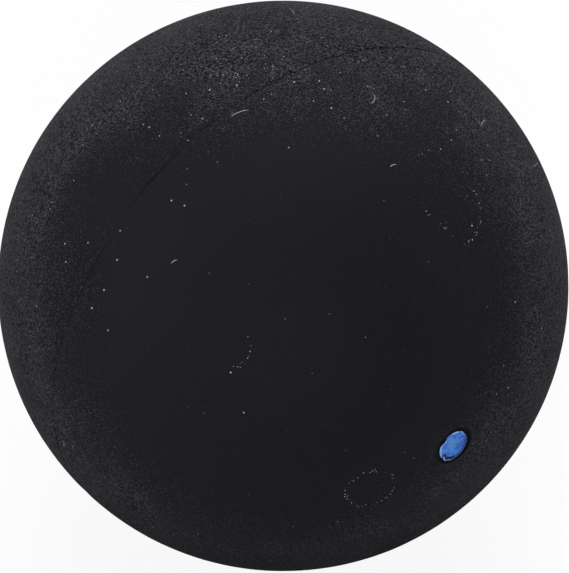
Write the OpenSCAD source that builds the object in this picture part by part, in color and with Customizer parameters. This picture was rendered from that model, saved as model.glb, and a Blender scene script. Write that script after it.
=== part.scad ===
// Hollow rubber squash ball.
// The origin is the ball's centre, and lengths are in millimetres.
// The Y axis runs from pole to pole: the dot is at -Y, and the seam lies in the XZ plane.

/* [Ball] */
// Diameter of the finished ball
ball_d = 40; // [30:0.5:60]
// Thickness of the rubber wall
wall_t = 5.2; // [2:0.1:10]

/* [Bonded seam] */
// Thickness of the dried rubber solution between the two halves
bond_t = 0.14; // [0.06:0.02:0.4]
// Bevel on the outer edge of each half, left by buffing
outer_bevel = 0.06; // [0.02:0.01:0.2]
// Depth of the rim of the solution below the ball's surface
groove_depth = 0.08; // [0.02:0.01:0.3]
// Bevel on the inner edge of each half, where the solution gathers
lip_bevel = 0.5; // [0.2:0.1:1.4]
// Height of the squeezed-out bead above the wall of the hollow
bead_h = 0.35; // [0.1:0.05:1]

/* [Speed dot] */
// Diameter of the dab of paint
dot_d = 2.6; // [1:0.1:6]
// Clearance between the paint and the wall of its recess
dot_gap = 0.06; // [0.02:0.01:0.2]
// Depth of the recess at its wall
recess_depth = 0.12; // [0.08:0.01:0.4]
// Depth of the crown of the paint below the ball's surface
dot_sink = 0.02; // [0.01:0.01:0.06]
// Bevel round the edge of the paint
dot_bevel = 0.03; // [0.01:0.01:0.04]

/* [Hidden] */
$fn = 360;

// Reach of a cut past the surface that it opens
overrun = 0.5;

ball_r = ball_d / 2;
hollow_r = ball_r - wall_t;
rubber = [0.12, 0.12, 0.13];
solution = [0.06, 0.06, 0.06];
blue_paint = [0.26, 0.43, 0.76];

// The butt faces of the halves lie this far from the plane of the seam
butt_h = bond_t / 2;
// The two lip bevels meet the wall of the hollow this far from that plane
lip_h = butt_h + lip_bevel;
// The bead's face is an arc through both lips that stands bead_h into the hollow
bead_r = (pow(bead_h, 2) + pow(lip_h, 2)) / (2 * bead_h);

dot_r = dot_d / 2;
recess_r = dot_r + dot_gap;
// The recess has a flat floor, at this height above the ball's centre
floor_h = height_at(ball_r, recess_r) - recess_depth;
// The paint follows the ball's curve, and is bevelled down to its edge
crown_r = ball_r - dot_sink;
paint_edge_h = height_at(crown_r, dot_r) - dot_bevel;

// Height of a ball of radius r at a distance from its axis
function height_at(r, distance) = sqrt(pow(r, 2) - pow(distance, 2));

// Turn a profile about the Z axis and lay its pole along -Y
module spun_to_front() {
    rotate([90, 0, 0])
        rotate_extrude()
            children();
}

// Profile of one moulded half, with its pole on +Z and its butt face above the plane of the seam
module shell_profile() {
    difference() {
        circle(r = ball_r);
        circle(r = hollow_r);
        // The other half's side of the butt face, and the side past the axis
        translate([-ball_r - overrun, butt_h - 2 * ball_r])
            square([2 * (ball_r + overrun), 2 * ball_r]);
        translate([-ball_r - overrun, 0])
            square([ball_r + overrun, ball_r + overrun]);
        lip_cut();
        edge_cut();
    }
}

// Cut at 45 degrees that takes the inner edge off a half
module lip_cut() {
    polygon([
        [hollow_r + lip_bevel + overrun, butt_h - overrun],
        [hollow_r - lip_bevel, butt_h + 2 * lip_bevel],
        [hollow_r - lip_bevel, butt_h - overrun]
    ]);
}

// Cut at 45 degrees that eases the outer edge of a half
module edge_cut() {
    edge_r = height_at(ball_r, butt_h);
    polygon([
        [edge_r - outer_bevel - overrun, butt_h - overrun],
        [edge_r + overrun, butt_h + outer_bevel + overrun],
        [edge_r + overrun, butt_h - overrun]
    ]);
}

// Half with the recess for the dot at its pole
module half_shell_front() {
    color(rubber)
        difference() {
            spun_to_front() shell_profile();
            translate([0, -floor_h, 0])
                rotate([90, 0, 0])
                    cylinder(r = recess_r, h = ball_r - floor_h + overrun);
        }
}

// Plain half
module half_shell_back() {
    color(rubber)
        mirror([0, 1, 0])
            spun_to_front() shell_profile();
}

// Film between the butt faces, with the bead that fills the V of the two lip bevels
module seam_bond() {
    color(solution)
        spun_to_front() {
            translate([hollow_r, -butt_h])
                square([ball_r - groove_depth - hollow_r, bond_t]);
            intersection() {
                translate([hollow_r - bead_h + bead_r, 0])
                    circle(r = bead_r);
                polygon([
                    [hollow_r + lip_bevel, -butt_h],
                    [hollow_r + lip_bevel, butt_h],
                    [hollow_r - bead_h, lip_h + bead_h],
                    [hollow_r - bead_h, -lip_h - bead_h]
                ]);
            }
        }
}

// Dab of paint on the floor of the recess, domed with the ball
module speed_dot() {
    color(blue_paint)
        spun_to_front()
            intersection() {
                circle(r = crown_r);
                polygon([
                    [0, floor_h],
                    [dot_r, floor_h],
                    [dot_r, paint_edge_h],
                    [0, paint_edge_h + dot_r]
                ]);
            }
}

half_shell_front();
half_shell_back();
seam_bond();
speed_dot();
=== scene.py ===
import math

import bmesh
import bpy
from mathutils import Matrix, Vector, noise


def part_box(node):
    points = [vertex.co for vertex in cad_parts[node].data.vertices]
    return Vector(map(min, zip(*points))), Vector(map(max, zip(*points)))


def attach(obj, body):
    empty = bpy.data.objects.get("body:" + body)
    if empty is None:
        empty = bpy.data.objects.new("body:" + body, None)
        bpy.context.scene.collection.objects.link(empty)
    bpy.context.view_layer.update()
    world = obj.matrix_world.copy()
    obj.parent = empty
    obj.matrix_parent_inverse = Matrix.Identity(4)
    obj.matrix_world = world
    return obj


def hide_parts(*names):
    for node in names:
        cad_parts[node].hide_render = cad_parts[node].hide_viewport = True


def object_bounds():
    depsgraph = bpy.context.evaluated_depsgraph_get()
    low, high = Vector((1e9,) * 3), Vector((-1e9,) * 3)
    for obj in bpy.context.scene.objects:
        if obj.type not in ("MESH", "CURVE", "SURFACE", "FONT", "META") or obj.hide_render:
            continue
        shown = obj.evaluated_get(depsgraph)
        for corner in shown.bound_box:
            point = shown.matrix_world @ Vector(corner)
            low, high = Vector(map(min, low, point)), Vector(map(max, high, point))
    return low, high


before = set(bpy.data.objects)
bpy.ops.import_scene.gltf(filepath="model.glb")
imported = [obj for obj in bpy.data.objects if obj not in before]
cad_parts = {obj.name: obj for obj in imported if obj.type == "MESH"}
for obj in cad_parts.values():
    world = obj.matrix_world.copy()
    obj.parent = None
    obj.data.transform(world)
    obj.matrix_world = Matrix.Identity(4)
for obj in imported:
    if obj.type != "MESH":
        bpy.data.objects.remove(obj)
cad_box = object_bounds()


# Camera
# The ball fills the photograph, seen through a long lens from above and to one side of its dot.
# Its outline there is a circle of known centre and radius, which sets the lens and the shift.
PICTURE = (569, 573)
OUTLINE_CENTRE = (283.3, 285.9)
OUTLINE_R = 283.75
CAMERA_DISTANCE = 1.0
SENSOR = 36
NEAR_CLIP = 0.01
azimuth = math.radians(-36.45)
elevation = math.radians(43.7)

MM = 0.001
shell_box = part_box("half_shell_back")
ball_r = shell_box[1][0]
to_camera = Vector((
    math.sin(azimuth) * math.cos(elevation),
    -math.cos(azimuth) * math.cos(elevation),
    math.sin(elevation),
))
picture_right = Vector((math.cos(azimuth), math.sin(azimuth), 0))
picture_up = to_camera.cross(picture_right)
limb_slope = ball_r / math.sqrt(CAMERA_DISTANCE ** 2 - ball_r ** 2)

camera_data = bpy.data.cameras.new("camera")
camera_data.sensor_width = SENSOR
camera_data.lens = SENSOR * OUTLINE_R / PICTURE[0] / limb_slope
camera_data.shift_x = (PICTURE[0] / 2 - OUTLINE_CENTRE[0]) / PICTURE[0]
camera_data.shift_y = (OUTLINE_CENTRE[1] - PICTURE[1] / 2) / PICTURE[0]
camera_data.clip_start = NEAR_CLIP
camera = bpy.data.objects.new("camera", camera_data)
camera.location = to_camera * CAMERA_DISTANCE
camera.rotation_euler = to_camera.to_track_quat("Z", "Y").to_euler()
bpy.context.collection.objects.link(camera)
bpy.context.scene.camera = camera


def on_ball(x, y):
    """The point of the ball's surface that the photograph shows at that pixel."""
    across = (x - OUTLINE_CENTRE[0]) / OUTLINE_R * limb_slope
    above = (OUTLINE_CENTRE[1] - y) / OUTLINE_R * limb_slope
    ray = (picture_right * across + picture_up * above - to_camera).normalized()
    start = to_camera * CAMERA_DISTANCE
    nearest = -ray.dot(start)
    half_chord = math.sqrt(max(nearest ** 2 - start.length_squared + ball_r ** 2, 0))
    return start + ray * (nearest - half_chord)


# Half shells
# Two cups of black butyl rubber, compression moulded, that meet edge to edge. The ball is
# buffed after bonding, which eases both edges into a fine groove, smears it shut in places,
# and leaves a matt skin of fine wrinkles that holds dust and lint.
WALL = 5.2 * MM
LIP_BEVEL = 0.5 * MM
EDGE_EASE = 0.04 * MM
SKIN_LEVEL = 8
HOLLOW_LEVEL = 6
SKIN_DROP = 0.03 * MM
SMEAR_REACH = 0.7 * MM
DOT_DISH = 0.03 * MM
DOT_DISH_R = 2.6 * MM
SLOW_WANDER = 0.08 * MM
SLOW_WANDER_TURNS = 2.3
QUICK_WANDER = 0.04 * MM
QUICK_WANDER_TURNS = 11
WANDER_REACH = 3 * MM
SEAM_STRAY = 0.24 * MM
STRAY_ANGLE = 152
STRAY_REACH = 16
RECESS_GAP = 0.06 * MM
RECESS_SHOULDER = 0.04 * MM
RIM_SNAP = 0.02 * MM
RECESS_SNAP = 0.005 * MM
SHARP_ANGLE = math.radians(50)
butt_h = shell_box[0][1]
bond_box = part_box("seam_bond")
groove_r = bond_box[1][0]
dot_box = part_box("speed_dot")
dot_r = dot_box[1][0]
recess_floor = -dot_box[1][1]
recess_r = dot_r + RECESS_GAP


def ease(value):
    """Smooth step from 0 to 1."""
    share = min(max(value, 0), 1)
    return share * share * (3 - 2 * share)


def seam_angle(point):
    return math.degrees(math.atan2(point.z, point.x)) % 360


# Pixels of the photograph on the seam, each with how open its groove is there
SEAM_MARKS = (
    ((58, 430), 0.0), ((82, 300), 0.0), ((90, 274), 0.5), ((98, 258), 0.5),
    ((107, 244), 0.1), ((132, 204), 0.2), ((139, 196), 0.7), ((172, 160), 0.6),
    ((183, 148), 0.2), ((240, 103), 0.2), ((258, 91), 0.65), ((420, 46), 0.7),
)
seam_marks = sorted((seam_angle(on_ball(*pixel)), share) for pixel, share in SEAM_MARKS)
# Where the photograph shows no seam, a slow noise says how open the groove is
UNSEEN_OPEN = 0.5
UNSEEN_SWING = 1.8
UNSEEN_TURNS = 3.1


def seam_wander(point):
    """How far the seam strays along Y from its plane, where the halves were pressed together by hand."""
    round_ball = Vector((point.x, 0, point.z)).normalized()
    slow = SLOW_WANDER * noise.noise(round_ball * SLOW_WANDER_TURNS)
    quick = QUICK_WANDER * noise.noise(round_ball * QUICK_WANDER_TURNS)
    stray = SEAM_STRAY * math.exp(-(((seam_angle(point) - STRAY_ANGLE) / STRAY_REACH) ** 2))
    return slow + quick - stray


def follow_seam(mesh):
    """Shift a mesh along Y so that what lies near the seam follows its wander."""
    for vert in mesh.verts:
        share = ease(1 - abs(vert.co.y) / WANDER_REACH)
        if share:
            vert.co.y += seam_wander(vert.co) * share


def groove_open(point):
    """From 0, where buffing smeared the seam's groove shut, to 1, where it is open as moulded."""
    angle = seam_angle(point)
    for (first, low), (last, high) in zip(seam_marks, seam_marks[1:]):
        if first <= angle < last:
            return low + (high - low) * ease((angle - first) / (last - first))
    round_ball = Vector((point.x, 0, point.z)).normalized()
    return ease(UNSEEN_OPEN - UNSEEN_SWING * noise.noise(round_ball * UNSEEN_TURNS))


# Heights of the skin's relief in millimetres, and how many of each form there are to the millimetre
BROAD_SWELL = 0.013
BROAD_PER_MM = 0.11
SMALL_SWELL = 0.006
SMALL_PER_MM = 0.55
CREASE = 0.003
CREASES_PER_MM = 1.3


def skin_relief(point):
    """Height of the buffed skin above the plain ball, never above zero."""
    place = point / MM
    swell = BROAD_SWELL * noise.noise(place * BROAD_PER_MM) + SMALL_SWELL * noise.noise(place * SMALL_PER_MM)
    crease = 1 - abs(noise.noise(place * CREASES_PER_MM) * 2)
    height = (swell - CREASE * crease) * MM - SKIN_DROP
    smeared = (1 - groove_open(point)) * ease(1 - abs(point.y) / SMEAR_REACH)
    height -= smeared * (ball_r - groove_r - SKIN_DROP)
    if point.y < 0:
        height -= DOT_DISH * ease((DOT_DISH_R - math.hypot(point.x, point.z)) / (DOT_DISH_R - recess_r))
    return height


def edges_only(geometry):
    return [item for item in geometry if isinstance(item, bmesh.types.BMEdge)]


def ring_out(mesh, rim, radius, height, side):
    """Extrude a rim of edges to a ring of that radius round Y, at that height on one side of the seam."""
    grown = bmesh.ops.extrude_edge_only(mesh, edges=rim)["geom"]
    for vert in grown:
        if isinstance(vert, bmesh.types.BMVert):
            flat = Vector((vert.co.x, 0, vert.co.z)).normalized() * radius
            vert.co = Vector((flat.x, side * height, flat.z))
    return edges_only(grown)


def cup(mesh, level, radius, height, side):
    """Add the part of a fine sphere that lies beyond a height on one side, and return its faces and rim."""
    verts = bmesh.ops.create_icosphere(mesh, subdivisions=level, radius=radius)["verts"]
    faces = list({face for vert in verts for face in vert.link_faces})
    edges = list({edge for face in faces for edge in face.edges})
    cut = bmesh.ops.bisect_plane(
        mesh, geom=verts + edges + faces, dist=RIM_SNAP,
        plane_co=(0, side * height, 0), plane_no=(0, side, 0), clear_inner=True,
    )
    kept = [item for item in cut["geom"] if isinstance(item, bmesh.types.BMFace) and item.is_valid]
    return kept, edges_only(cut["geom_cut"])


def cut_recess(mesh, side):
    """Put the dot's seat in place of the skin at the pole: a rounded brow, a wall and a flat floor."""
    shoulder_r = recess_r + 3 * RECESS_SHOULDER
    shoulder_h = math.sqrt(ball_r ** 2 - shoulder_r ** 2)
    cut = bmesh.ops.bisect_plane(
        mesh, geom=mesh.verts[:] + mesh.edges[:] + mesh.faces[:], dist=RECESS_SNAP,
        plane_co=(0, side * shoulder_h, 0), plane_no=(0, side, 0), clear_outer=True,
    )
    brow_r = recess_r + RECESS_SHOULDER
    brow_h = math.sqrt(ball_r ** 2 - brow_r ** 2)
    edge = ring_out(mesh, edges_only(cut["geom_cut"]), brow_r, brow_h, side)
    edge = ring_out(mesh, edge, recess_r, brow_h - RECESS_SHOULDER, side)
    edge = ring_out(mesh, edge, recess_r, recess_floor, side)
    bmesh.ops.edgeloop_fill(mesh, edges=edge)


def half_shell(side, recessed):
    """A closed cup of rubber on one side of the seam, with the dot's seat at its pole if it is recessed."""
    mesh = bmesh.new()
    skin, rim = cup(mesh, SKIN_LEVEL, ball_r, butt_h + EDGE_EASE, side)
    rim = ring_out(mesh, rim, groove_r, butt_h, side)
    hollow, lip = cup(mesh, HOLLOW_LEVEL, ball_r - WALL, butt_h + LIP_BEVEL, side)
    bmesh.ops.reverse_faces(mesh, faces=hollow)
    lip = ring_out(mesh, lip, ball_r - WALL + LIP_BEVEL, butt_h, side)
    bmesh.ops.bridge_loops(mesh, edges=rim + lip)
    if recessed:
        cut_recess(mesh, side)
    # The skin and the brow of the recess take the relief, and the butt face, hollow and floor don't
    for vert in mesh.verts:
        if vert.co.length > ball_r - 2 * RECESS_SHOULDER and abs(vert.co.y) > butt_h + EDGE_EASE / 2:
            vert.co *= 1 + skin_relief(vert.co) / ball_r
    follow_seam(mesh)
    bmesh.ops.recalc_face_normals(mesh, faces=mesh.faces)
    return mesh


def make_piece(name, mesh, material):
    """Turn a bmesh into an object at the origin, smooth but for its true edges."""
    data = bpy.data.meshes.new(name)
    mesh.to_mesh(data)
    mesh.free()
    data.shade_smooth()
    data.set_sharp_from_angle(angle=SHARP_ANGLE)
    data.materials.append(material)
    piece = bpy.data.objects.new(name, data)
    bpy.context.collection.objects.link(piece)
    return piece


class Pattern:
    """A value that varies over a surface. Arithmetic on it adds Math nodes, and node adds any other kind."""

    def __init__(self, socket):
        self.socket = socket

    def node(self, kind, settings, inputs, output=0):
        """Add a node: its settings are set first, then its inputs get values or links."""
        made = self.socket.id_data.nodes.new(kind)
        for setting, value in settings.items():
            setattr(made, setting, value)
        for key, value in inputs.items():
            if isinstance(value, Pattern):
                made.id_data.links.new(value.socket, made.inputs[key])
            else:
                made.inputs[key].default_value = value
        return Pattern(made.outputs[output])

    def maths(self, operation, *values):
        return self.node("ShaderNodeMath", {"operation": operation}, dict(enumerate(values)))

    def __add__(self, other):
        return self.maths("ADD", self, other)

    __radd__ = __add__

    def __mul__(self, other):
        return self.maths("MULTIPLY", self, other)

    __rmul__ = __mul__

    def __sub__(self, other):
        return self.maths("SUBTRACT", self, other)

    def __rsub__(self, other):
        return self.maths("SUBTRACT", other, self)

    def __abs__(self):
        return self.maths("ABSOLUTE", self)

    def ramp(self, low, high, low_value=0.0, high_value=1.0):
        """Ease from one value to another as this one goes from low to high."""
        return self.node(
            "ShaderNodeMapRange", {"interpolation_type": "SMOOTHSTEP"},
            {"Value": self, "From Min": low, "From Max": high, "To Min": low_value, "To Max": high_value},
        )

    def noise(self, scale, detail=2.0, distortion=0.0):
        """Noise from 0 to 1 at this place, with that many grains to the millimetre."""
        inputs = {"Vector": self, "Scale": scale, "Detail": detail, "Distortion": distortion}
        return self.node("ShaderNodeTexNoise", {}, inputs, "Fac")

    def along(self, axis):
        """The X, Y or Z of this place."""
        return self.node("ShaderNodeSeparateXYZ", {}, {"Vector": self}, axis)

    def distance_to(self, point):
        return self.node("ShaderNodeVectorMath", {"operation": "DISTANCE"}, {0: self, 1: point}, "Value")

    def blend(self, plain, marked):
        """Mix two colours by this mask."""
        return self.node("ShaderNodeMix", {"data_type": "RGBA"}, {"Factor": self, 6: plain, 7: marked}, 2)


def new_finish(name):
    """A material, its shader node and the place on the piece in millimetres."""
    material = bpy.data.materials.new(name)
    material.use_nodes = True
    nodes = material.node_tree.nodes
    shader = nodes["Principled BSDF"]
    place = Pattern(nodes.new("ShaderNodeTexCoord").outputs["Object"])
    in_mm = place.node("ShaderNodeMapping", {}, {"Vector": place, "Scale": (1 / MM, 1 / MM, 1 / MM)})
    return material, shader, in_mm


def drive(shader, **channels):
    """Link patterns to a shader's inputs, and set the inputs that get plain values."""
    for channel, value in channels.items():
        socket = shader.inputs[channel.replace("_", " ")]
        if isinstance(value, Pattern):
            shader.id_data.links.new(value.socket, socket)
        else:
            socket.default_value = value


def from_pixel(place, pixel):
    """Distance in millimetres from the spot that a pixel of the photograph shows."""
    return place.distance_to(on_ball(*pixel) / MM)


RUBBER = (0.0126, 0.0118, 0.0160, 1)
# Painted shade in the pits of the grain
PIT_SHADE = (0.0012, 0.0011, 0.0016, 1)
# Pale tips of the grain: part powder, part painted glint
POWDER_AND_GLINT = (0.088, 0.084, 0.106, 1)
DUST = (0.62, 0.62, 0.66, 1)
LINT = (0.50, 0.48, 0.48, 1)
# Painted shade round the dot's recess
SEAT_SHADE = (0.0016, 0.0020, 0.0040, 1)
# Painted shade: the rubber is darker over a broad patch round the middle of the view
SHADED_RUBBER = (0.0095, 0.0089, 0.0124, 1)
SHEEN_TINT = (0.75, 0.72, 1, 1)
RUBBER_ROUGHNESS = 0.5
RUBBER_SPECULAR = 0.05
SHEEN = 0.03
SHEEN_ROUGHNESS = 0.3
GRAIN_DEPTH = 0.25 * MM
# Counts to the millimetre, and lengths in millimetres, as the materials use them
RAW_PATCHES_PER_MM = 0.22
DUST_PATCHES_PER_MM = 0.5
PEBBLES_PER_MM = 5.8
WRINKLES_PER_MM = 11.0
WRINKLE_SWIRL = 0.8
LARGE_GRAINS_PER_MM = 3.0
LARGE_GRAIN_R = 0.06
SMALL_GRAINS_PER_MM = 6.0
SMALL_GRAIN_R = 0.05
SPECK_R = 0.09
SPECK_CORE_R = 0.03
RING_HALF_WIDTH = 0.2
RING_CORE = 0.08
FIBRE_R = 0.04
FIBRE_CORE_R = 0.008
FIBRE_TAPER = 0.1
# Painted shade round the dot's recess: its width, fade and core in millimetres
SEAT_SHADE_WIDTH = 0.16
SEAT_SHADE_FADE = 0.08
SEAT_SHADE_CORE = 0.06
# Reach and core in millimetres of that painted shade
CENTRE_SHADE_REACH = 16.0
CENTRE_SHADE_CORE = 3.0
# Heights in millimetres between which the pale tips (powder with a painted glint, paler towards the top
# where the light rakes) and the dust on the skin thicken
POWDER_AND_GLINT_HEIGHTS = (-14.0, 2.0)
LEAST_POWDER_AND_GLINT_SHARE = 0.2
DUST_HEIGHTS = (2.0, 19.0)
LEAST_DUST_SHARE = 0.25
# Shares of the cells that show a grain: the stray ones show everywhere, the others where it is dusty
STRAY_GRAIN_SHARE = 0.012
LARGE_GRAIN_SHARE = 0.2
SMALL_GRAIN_SHARE = 0.15
# How far past those shares the grains fade out
LARGE_GRAIN_SPREAD = 0.05
SMALL_GRAIN_SPREAD = 0.3
# Share of the grain that is left where handling has smoothed the skin
SMOOTH_SHARE = 0.15
# Levels of the wrinkles at which their pits take painted shade and their tips turn pale with powder and a
# painted glint, which raw skin lifts
PIT_SHADE_LEVELS = (0.6, 0.46)
TIP_LEVELS = (0.66, 0.82)
TIP_LIFT = 0.2
# Pixels of the photograph where the skin is marked, with lengths in millimetres
# Middle of the patch of painted shade
CENTRE_SHADE_SPOT = (330, 342)
# Each with two distances and how raw the skin is within the first and past the second
HANDLED_SPOTS = (
    ((290, 340), 11.5, 23.5, 0.0, 1.35),
    ((120, 170), 3.0, 11.0, 0.6, 1.0),
    ((470, 160), 3.0, 10.0, 0.6, 1.0),
    ((95, 200), 1.5, 6.0, 0.35, 1.0),
    ((90, 390), 2.0, 9.0, 0.7, 1.0),
    ((490, 290), 2.0, 7.0, 0.6, 1.0),
)
# Each ring's middle and radius, then where it is clearest and how far from there it shows
RING_MARKS = (
    ((370, 488), 1.75, (370, 488), 3.0),
    ((449, 208), 2.72, (480, 216), 3.4),
    ((450, 196), 2.56, (432, 220), 1.6),
    ((229, 345), 1.6, (238, 352), 1.8),
)
SPECKS = (
    (172, 201), (150, 128), (540, 328), (93, 126), (256, 49), (185, 206), (541, 368), (271, 33),
    (549, 231), (210, 91), (217, 60), (121, 231), (237, 86), (319, 82), (447, 103), (324, 90),
    (507, 387), (109, 330), (66, 244), (231, 372), (244, 412), (390, 59), (471, 226), (514, 302),
    (89, 243), (67, 262), (118, 260), (148, 277), (105, 290), (93, 308), (76, 299), (38, 306),
    (220, 116), (294, 83), (331, 109), (421, 71), (425, 91),
)
# Each with its reach and how much dust it adds
DUSTY_SPOTS = (((232, 66), 4.5, 1.2), ((28, 235), 4.0, 1.0), ((545, 350), 4.0, 0.8), ((392, 84), 4.0, 0.5))
# Each hair's two ends and how far it bows
LINT_FIBRES = (
    ((232, 117), (248, 111), 0.09),
    ((172, 263), (177, 260), 0.03),
    ((374, 96), (371, 104), 0.12),
    ((390, 167), (395, 165), 0.04),
    ((480, 127), (484, 121), 0.07),
    ((290, 10), (294, 15), 0.05),
    ((65, 440), (65, 446), 0.02),
    ((533, 167), (537, 164), 0.04),
)


def grains(place, cells_per_mm, size, shown, spread):
    """Dust grains scattered through the skin: one to a cell, of which a share is shown, some faintly."""
    cell = {"Vector": place, "Scale": cells_per_mm}
    near = place.node("ShaderNodeTexVoronoi", {}, cell, "Distance")
    chance = place.node("ShaderNodeTexVoronoi", {}, cell, "Color")
    chance = place.node("ShaderNodeSeparateColor", {}, {"Color": chance}, "Red")
    radius = size * cells_per_mm
    return near.ramp(radius, radius * 0.4) * (shown - chance).ramp(0.0, spread)


def ring_mark(place, middle, radius, clearest, reach):
    """The band where a drop dried, which shows most near one pixel of the photograph."""
    band = abs(from_pixel(place, middle) - radius).ramp(RING_HALF_WIDTH, RING_CORE)
    return band * from_pixel(place, clearest).ramp(reach, reach * 0.6)


def fibre(place, start, end, bend):
    """A short curved hair that lies on the skin between two pixels of the photograph."""
    first, last = on_ball(*start) / MM, on_ball(*end) / MM
    middle = (first + last) / 2
    half = (last - first).length / 2
    curve_r = (half ** 2 + bend ** 2) / (2 * bend)
    aside = (last - first).cross(middle).normalized()
    off_curve = abs(place.distance_to(middle + aside * (curve_r - bend)) - curve_r)
    line = off_curve.ramp(FIBRE_R, FIBRE_CORE_R)
    return line * place.distance_to(middle).ramp(half + FIBRE_TAPER, half - FIBRE_TAPER)


def rawness(place):
    """From 0, where handling has smoothed the skin, to over 1, where it is as buffed."""
    raw = place.noise(RAW_PATCHES_PER_MM).ramp(0.36, 0.62, 0.7, 1.2)
    for pixel, inner, outer, least, most in HANDLED_SPOTS:
        raw = from_pixel(place, pixel).ramp(inner, outer, least, most) * raw
    return raw


def skin_grain(place):
    """Colour and normal of the buffed skin: a net of pits with painted shade and tips made pale by powder
    and a painted glint.
    """
    raw = rawness(place)
    pebbles = (place.noise(PEBBLES_PER_MM, 1.0, WRINKLE_SWIRL) - 0.5) * raw.ramp(0.7, 1.4, 0.0, 2.4)
    wrinkle = place.noise(WRINKLES_PER_MM, 1.0, WRINKLE_SWIRL) + pebbles
    height = wrinkle * (raw * (1 - SMOOTH_SHARE) + SMOOTH_SHARE)
    bump = place.node("ShaderNodeBump", {}, {"Height": height, "Distance": GRAIN_DEPTH}, "Normal")
    # Painted shade over the middle of the view
    centre_shade = from_pixel(place, CENTRE_SHADE_SPOT).ramp(CENTRE_SHADE_REACH, CENTRE_SHADE_CORE)
    # Painted shade in the pits of the grain
    pit_shaded = (wrinkle.ramp(*PIT_SHADE_LEVELS) * raw).blend(centre_shade.blend(RUBBER, SHADED_RUBBER), PIT_SHADE)
    # Tips pale with powder and a painted glint, paler towards the top where the light rakes
    powder_and_glint_mask = place.along("Z").ramp(*POWDER_AND_GLINT_HEIGHTS, LEAST_POWDER_AND_GLINT_SHARE) * raw.ramp(0.0, 0.35, 0.5, 1.0)
    tips = (wrinkle + raw.maths("MINIMUM", raw, 1.0) * TIP_LIFT).ramp(*TIP_LEVELS)
    return (tips * powder_and_glint_mask).blend(pit_shaded, POWDER_AND_GLINT), bump


def buffed_rubber():
    material, shader, place = new_finish("buffed_rubber")
    skin, bump = skin_grain(place)
    upper = place.along("Z").ramp(*DUST_HEIGHTS, LEAST_DUST_SHARE)
    drifts = place.noise(DUST_PATCHES_PER_MM).ramp(0.3, 0.65, 0.5, 1.0)
    dusty = upper * (rawness(place) * (1 - SMOOTH_SHARE) + SMOOTH_SHARE) * drifts
    for pixel, reach, extra in DUSTY_SPOTS:
        dusty = from_pixel(place, pixel).ramp(reach, reach * 0.3, 0.0, extra) + dusty
    rings = 0.0
    for mark in RING_MARKS:
        rings = ring_mark(place, *mark) + rings
    large = dusty * LARGE_GRAIN_SHARE + STRAY_GRAIN_SHARE
    small = dusty * SMALL_GRAIN_SHARE + rings
    dust = grains(place, LARGE_GRAINS_PER_MM, LARGE_GRAIN_R, large, LARGE_GRAIN_SPREAD)
    fine_dust = grains(place, SMALL_GRAINS_PER_MM, SMALL_GRAIN_R, small, SMALL_GRAIN_SPREAD)
    dust = dust.maths("MAXIMUM", dust, fine_dust)
    for pixel in SPECKS:
        dust = dust.maths("MAXIMUM", dust, from_pixel(place, pixel).ramp(SPECK_R, SPECK_CORE_R))
    lint = 0.0
    for start, end, bend in LINT_FIBRES:
        lint = fibre(place, start, end, bend) + lint
    colour = lint.blend(dust.blend(skin, DUST), LINT)
    # Painted shade on the skin round the dot's recess
    to_dot = place.distance_to(Vector((0, -ball_r, 0)) / MM)
    seat_shade_r = recess_r / MM + SEAT_SHADE_WIDTH
    colour = to_dot.ramp(seat_shade_r + SEAT_SHADE_FADE, seat_shade_r - SEAT_SHADE_CORE).blend(colour, SEAT_SHADE)
    drive(shader, Base_Color=colour, Normal=bump)
    drive(shader, Roughness=RUBBER_ROUGHNESS, Specular_IOR_Level=RUBBER_SPECULAR)
    drive(shader, Sheen_Weight=SHEEN, Sheen_Roughness=SHEEN_ROUGHNESS, Sheen_Tint=SHEEN_TINT)
    return material


rubber_finish = buffed_rubber()
front_shell = make_piece("front_half_shell", half_shell(-1, True), rubber_finish)
back_shell = make_piece("back_half_shell", half_shell(1, False), rubber_finish)
for shell, node in ((front_shell, "half_shell_front"), (back_shell, "half_shell_back")):
    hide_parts(node)
    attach(shell, "root")


# Seam bond
# A film of dried rubber solution between the butt faces of the halves. It ends in a bead
# that was squeezed into the hollow, and its rim lies at the bottom of the fine groove outside.
BEAD = 0.35 * MM
BEAD_STEPS = 8
SEAM_STEPS = 720


def spin_once(mesh, verts, edges, steps):
    """Spin an outline in the XY plane once round the Y axis."""
    bmesh.ops.spin(
        mesh, geom=verts + edges, cent=(0, 0, 0), axis=(0, 1, 0),
        angle=math.tau, steps=steps, use_merge=True,
    )


def bond_ring():
    """A film with a rounded bead on its inner edge, spun round the Y axis."""
    mesh = bmesh.new()
    lip_h = butt_h + LIP_BEVEL
    wall_r = ball_r - WALL
    bead_r = (BEAD ** 2 + lip_h ** 2) / (2 * BEAD)
    outline = [(groove_r, butt_h), (groove_r, -butt_h), (wall_r + LIP_BEVEL, -butt_h)]
    reach = math.asin(lip_h / bead_r)
    for step in range(BEAD_STEPS + 1):
        angle = -reach + 2 * reach * step / BEAD_STEPS
        outline.append((wall_r - BEAD + bead_r - bead_r * math.cos(angle), bead_r * math.sin(angle)))
    outline.append((wall_r + LIP_BEVEL, butt_h))
    verts = [mesh.verts.new((radius, height, 0)) for radius, height in outline]
    edges = [mesh.edges.new((verts[i - 1], verts[i])) for i in range(len(verts))]
    spin_once(mesh, verts, edges, SEAM_STEPS)
    open_map = mesh.verts.layers.float.new("groove_open")
    across_map = mesh.verts.layers.float.new("across_film")
    for vert in mesh.verts:
        vert[open_map] = groove_open(vert.co)
        vert[across_map] = vert.co.y / butt_h
    follow_seam(mesh)
    bmesh.ops.recalc_face_normals(mesh, faces=mesh.faces)
    return mesh


SOLUTION = (0.0040, 0.0038, 0.0050, 1)
SOLUTION_STREAK = (0.0075, 0.0072, 0.0092, 1)
STREAKS_PER_MM = 1.8
BARE_PATCHES_PER_MM = 1.4
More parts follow.
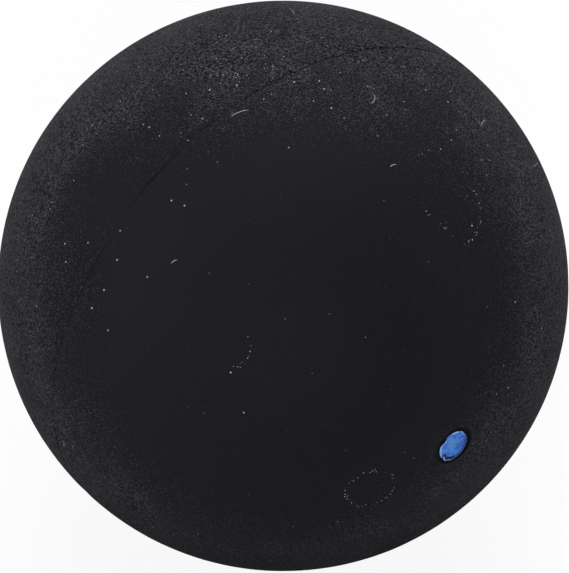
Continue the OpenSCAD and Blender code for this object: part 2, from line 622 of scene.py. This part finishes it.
# The film shows between these shares of an open groove, and of the way from its middle to its edge
OPEN_SHARES = (0.05, 0.7)
ACROSS_SHARES = (0.9, 0.4)


def dried_solution():
    material, shader, place = new_finish("rubber_solution")
    skin, bump = skin_grain(place)
    opened = place.node("ShaderNodeAttribute", {"attribute_name": "groove_open"}, {}, "Fac")
    across = place.node("ShaderNodeAttribute", {"attribute_name": "across_film"}, {}, "Fac")
    streaks = place.noise(STREAKS_PER_MM, 3.0)
    patches = place.noise(BARE_PATCHES_PER_MM).ramp(0.38, 0.55, 0.35, 1.0)
    bare = opened.ramp(*OPEN_SHARES) * abs(across).ramp(*ACROSS_SHARES) * patches
    colour = bare.blend(skin, streaks.blend(SOLUTION, SOLUTION_STREAK))
    drive(shader, Base_Color=colour, Roughness=streaks.ramp(0.3, 0.7, 0.5, 0.7), Normal=bump)
    drive(shader, Specular_IOR_Level=RUBBER_SPECULAR)
    return material


bond = make_piece("bond_ring", bond_ring(), dried_solution())
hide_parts("seam_bond")
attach(bond, "root")


# Speed dot
# A dab of blue paint set by hand on the flat floor of its recess. It dried with a raised
# rim, with a painted highlight on its lit side and painted shade at its lower right, and its edge
# is uneven: nicked above and at one end, and flattened below.
DOT_STEPS = 180
RAGGED_TURNS = 3
# Shares of the dot's radius: how far out its foot lies, and how far out its edge lies and strays
FOOT_SHARE = 0.97
EDGE_SHARE = 0.96
RAGGED_SHARE = 0.05
# Shares of the film: the rise of its side, the drop of its middle and how uneven its top is
SIDE_RISE_SHARE = 0.35
BODY_DROP_SHARE = 0.38
ROUGH_TOP_SHARE = 0.1
# Each ring of the rim as shares: how far out of the dot's radius, and how far down of the film
RIM_SHARES = ((0.985, 0.35), (0.965, 0.1), (0.93, 0.0), (0.89, 0.1), (0.84, 0.3), (0.78, 0.38))
BODY_SHARES = (0.7, 0.6, 0.5, 0.4, 0.3, 0.2, 0.1, 0)
# Each nick's angle and width in degrees, and its depth as a share of the dot's radius
NICKS = ((135, 11, 0.14), (-146, 5, 0.10), (-45, 32, 0.07), (10, 45, 0.12))
WELD = 0.001 * MM
crown_h = -dot_box[0][1]


def edge_share(angle):
    """How far out the paint's edge lies at that angle from +X towards +Z, as a share of the dot's radius."""
    heading = Vector((math.cos(angle), math.sin(angle), 0))
    share = EDGE_SHARE + RAGGED_SHARE * noise.noise(heading * RAGGED_TURNS)
    for middle, width, depth in NICKS:
        off = (math.degrees(angle) - middle + 180) % 360 - 180
        share -= depth * math.exp(-((off / width) ** 2))
    return min(share, 1)


def paint_dab():
    """A spun disc with a rounded, raised rim, whose edge and top are then made uneven."""
    mesh = bmesh.new()
    film = crown_h - recess_floor
    sag = crown_h - math.sqrt(crown_h ** 2 - dot_r ** 2)
    outline = [
        (0, recess_floor),
        (dot_r * FOOT_SHARE, recess_floor),
        (dot_r, recess_floor + film * SIDE_RISE_SHARE),
    ]
    for share, drop in RIM_SHARES:
        outline.append((dot_r * share, crown_h - sag * share ** 2 - film * drop))
    for share in BODY_SHARES:
        outline.append((dot_r * share, crown_h - sag * share ** 2 - film * BODY_DROP_SHARE))
    verts = [mesh.verts.new((radius, -height, 0)) for radius, height in outline]
    edges = [mesh.edges.new((verts[i], verts[i + 1])) for i in range(len(verts) - 1)]
    spin_once(mesh, verts, edges, DOT_STEPS)
    bmesh.ops.remove_doubles(mesh, verts=mesh.verts, dist=WELD)
    edge_map = mesh.verts.layers.float.new("edge_share")
    for vert in mesh.verts:
        vert[edge_map] = math.hypot(vert.co.x, vert.co.z) / dot_r
        shrink = edge_share(math.atan2(vert.co.z, vert.co.x))
        vert.co.x *= shrink
        vert.co.z *= shrink
        if vert.co.y < -recess_floor - film / 2:
            vert.co.y += film * ROUGH_TOP_SHARE * (0.5 + 0.5 * noise.noise(vert.co / MM * RAGGED_TURNS))
    bmesh.ops.recalc_face_normals(mesh, faces=mesh.faces)
    return mesh


BLUE = (0.078, 0.262, 0.80, 1)
DEEP_BLUE = (0.026, 0.120, 0.56, 1)
SHADED_BLUE = (0.010, 0.045, 0.25, 1)
TEAL = (0.10, 0.33, 0.62, 1)
# Painted highlight on the dot's raised rim and on the lip beside the crack
RIM_HIGHLIGHT = (0.28, 0.47, 0.90, 1)
CRACK = (0.0030, 0.0060, 0.030, 1)
PAINT_SPECULAR = 0.3
PAINT_DEPTH = 0.14 * MM
STROKE_TURN = math.radians(30)
STROKE_STRETCH = (0.7, 1, 1.7)
STROKE_SWIRL = 0.6
STROKES_PER_MM = 2.2
FLECKS_PER_MM = 6.0
# Patches that break up the painted highlight on the rim
HIGHLIGHT_PATCHES_PER_MM = 2.6
# Pixels of the photograph where the paint differs, where its rim has a painted highlight and
# where its edge has painted shade, and how far each mark reaches in millimetres
TEAL_PATCH = (452, 443)
LIT_SIDE = (441, 436)
SHADED_SIDE = (465, 450)
CRACK_MIDDLE = (446, 459)
TEAL_REACH = 0.6
TEAL_CORE = 0.1
LIT_REACH = 2.4
LIT_CORE = 1.3
SIDE_SHADE_REACH = 1.7
SIDE_SHADE_CORE = 1.1
CRACK_REACH = 0.75
CRACK_CORE = 0.6
# Shares of the dot's radius between which each mark comes up or fades out
SIDE_SHADE_SHARES = (0.66, 0.82)
RIM_HIGHLIGHT_SHARES = (0.86, 0.93)
CRACK_LIP_SHARES = (0.92, 0.95)
CRACK_START_SHARES = (0.69, 0.76)
CRACK_END_SHARES = (0.93, 0.89)


def blue_paint():
    material, shader, place = new_finish("dot_paint")
    share = place.node("ShaderNodeAttribute", {"attribute_name": "edge_share"}, {}, "Fac")
    turned = place.node("ShaderNodeMapping", {}, {"Vector": place, "Rotation": (0, STROKE_TURN, 0)})
    stretched = place.node("ShaderNodeMapping", {}, {"Vector": turned, "Scale": STROKE_STRETCH})
    strokes = stretched.noise(STROKES_PER_MM, 3.0, STROKE_SWIRL)
    flecks = place.noise(FLECKS_PER_MM, 1.0)
    body = (strokes * 0.65 + flecks * 0.35).ramp(0.38, 0.58).blend(DEEP_BLUE, BLUE)
    teal = from_pixel(place, TEAL_PATCH).ramp(TEAL_REACH, TEAL_CORE) * 0.8
    # Painted shade along the lower right edge of the dot
    side_shade = from_pixel(place, SHADED_SIDE).ramp(SIDE_SHADE_REACH, SIDE_SHADE_CORE) * share.ramp(*SIDE_SHADE_SHARES)
    uneven = place.noise(HIGHLIGHT_PATCHES_PER_MM).ramp(0.42, 0.56, 0.1, 1.0)
    # Painted highlight on the rim, strongest on the lit side
    lit_side = from_pixel(place, LIT_SIDE).ramp(LIT_REACH, LIT_CORE, 0.12, 1.0)
    rim = share.ramp(*RIM_HIGHLIGHT_SHARES) * uneven * lit_side
    colour = rim.blend((side_shade * 0.85).blend(teal.blend(body, TEAL), SHADED_BLUE), RIM_HIGHLIGHT)
    cracked = from_pixel(place, CRACK_MIDDLE).ramp(CRACK_REACH, CRACK_CORE)
    # Painted highlight on the lip beside the crack
    colour = (cracked * share.ramp(*CRACK_LIP_SHARES)).blend(colour, RIM_HIGHLIGHT)
    crack = cracked * share.ramp(*CRACK_START_SHARES) * share.ramp(*CRACK_END_SHARES)
    colour = crack.blend(colour, CRACK)
    bump = place.node("ShaderNodeBump", {}, {"Height": flecks, "Distance": PAINT_DEPTH}, "Normal")
    drive(shader, Base_Color=colour, Roughness=flecks.ramp(0.3, 0.7, 0.4, 0.6), Normal=bump)
    drive(shader, Specular_IOR_Level=PAINT_SPECULAR)
    return material


dot = make_piece("paint_dot", paint_dab(), blue_paint())
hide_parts("speed_dot")
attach(dot, "root")


# Studio
# A plain white floor and soft lamps. Most of the light comes from above and behind, so that
# the ball is palest at its upper rim, with a weaker fill from the camera's side.
FLOOR_SIZE = 3.0
FLOOR_ROUGHNESS = 0.9
LAMP_DISTANCE = 1.2
LAMP_SIZE = 0.8
# The camera sees the floor as paler than it is for the light that it throws back on the ball
FLOOR_SEEN = (0.9, 0.9, 0.9, 1)
FLOOR_THROWN = (0.35, 0.35, 0.35, 1)
FLOOR_GLOW_SHARE = 0.9
# Strength of the white backdrop for all light that doesn't go straight to the camera
BACKDROP_LIGHT = 0.02
behind = -Vector((to_camera.x, to_camera.y, 0)).normalized()
overhead = Vector((0, 0, 1))
LAMPS = (
    ("lamp_above", overhead, 6.0),
    ("lamp_behind", behind + overhead * 0.58 + picture_right * 0.12, 10.6),
    ("lamp_left", overhead * 0.36 - picture_right, 6.4),
    ("lamp_right", overhead * 0.36 + picture_right, 3.2),
    ("lamp_camera", overhead * 0.36 - behind, 9.0),
)


def straight_view(nodes):
    """1 for what the camera sees directly, and 0 for all other light."""
    return Pattern(nodes.new("ShaderNodeLightPath").outputs["Is Camera Ray"])


def white_floor():
    material = bpy.data.materials.new("studio_floor")
    material.use_nodes = True
    nodes = material.node_tree.nodes
    shader = nodes["Principled BSDF"]
    seen = straight_view(nodes)
    drive(shader, Base_Color=seen.blend(FLOOR_THROWN, FLOOR_SEEN))
    drive(shader, Roughness=FLOOR_ROUGHNESS, Specular_IOR_Level=0)
    glow = seen.node("ShaderNodeEmission", {}, {})
    mixed = {0: seen * FLOOR_GLOW_SHARE, 1: Pattern(shader.outputs["BSDF"]), 2: glow}
    drive(nodes["Material Output"], Surface=seen.node("ShaderNodeMixShader", {}, mixed))
    return material


floor_mesh = bmesh.new()
bmesh.ops.create_grid(floor_mesh, x_segments=1, y_segments=1, size=FLOOR_SIZE)
bmesh.ops.translate(floor_mesh, verts=floor_mesh.verts, vec=(0, 0, cad_box[0][2]))
floor = make_piece("studio_floor", floor_mesh, white_floor())

for name, direction, power in LAMPS:
    lamp_data = bpy.data.lights.new(name, "AREA")
    lamp_data.shape = "SQUARE"
    lamp_data.size = LAMP_SIZE
    lamp_data.energy = power
    lamp = bpy.data.objects.new(name, lamp_data)
    lamp.location = direction.normalized() * LAMP_DISTANCE
    lamp.rotation_euler = direction.to_track_quat("Z", "Y").to_euler()
    bpy.context.collection.objects.link(lamp)

world = bpy.data.worlds.new("studio")
bpy.context.scene.world = world
world.use_nodes = True
world_nodes = world.node_tree.nodes
backdrop = world_nodes["Background"]
strength = straight_view(world_nodes) * (1 - BACKDROP_LIGHT) + BACKDROP_LIGHT
drive(backdrop, Color=(1, 1, 1, 1), Strength=strength)

bpy.context.scene.view_settings.view_transform = "Standard"
